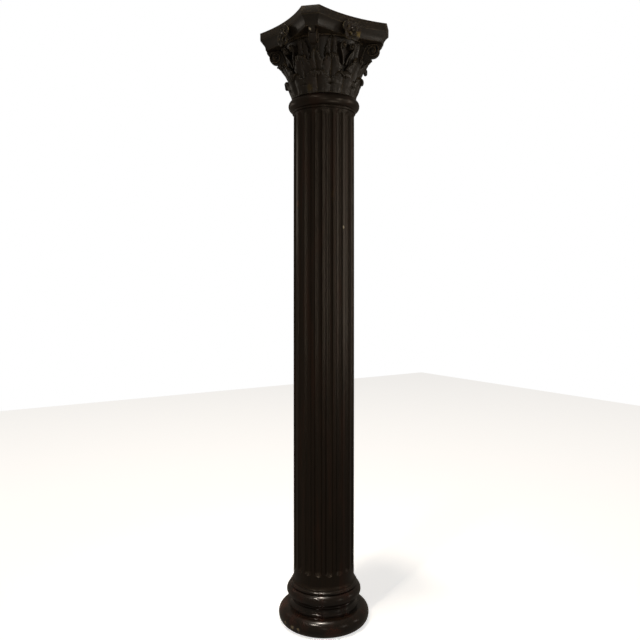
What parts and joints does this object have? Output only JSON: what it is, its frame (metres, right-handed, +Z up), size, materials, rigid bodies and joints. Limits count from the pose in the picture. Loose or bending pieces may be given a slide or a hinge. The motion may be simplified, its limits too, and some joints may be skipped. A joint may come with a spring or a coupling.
{
  "type": "fluted_column",
  "caption": "Round fluted wooden column with a turned base and a carved leaf capital, stands free or carries a shelf, beam or bust on its flat top",
  "frame": {"origin": "centre of the underside of the base", "axes": "Z up along the column's axis, X and Y square to the sides of the abacus"},
  "size_m": [0.4158, 0.4158, 2.44],
  "materials": {
    "polished_wood": "dark stained mahogany, polished",
    "shaft_wood": "dark stained mahogany, satin",
    "carved_wood": "dark stained mahogany, rubbed bare on high points",
    "flower_wood": "dark stained mahogany, worn pale on the petals"
  },
  "bodies": {
    "root": {"base_foot_torus": "polished_wood", "base_collar": "polished_wood", "shaft": "shaft_wood", "astragal": "polished_wood", "capital": "carved_wood", "abacus": "carved_wood", "fleuron_front": "flower_wood", "fleuron_right": "flower_wood", "fleuron_back": "flower_wood", "fleuron_left": "flower_wood"}
  },
  "joints": []
}
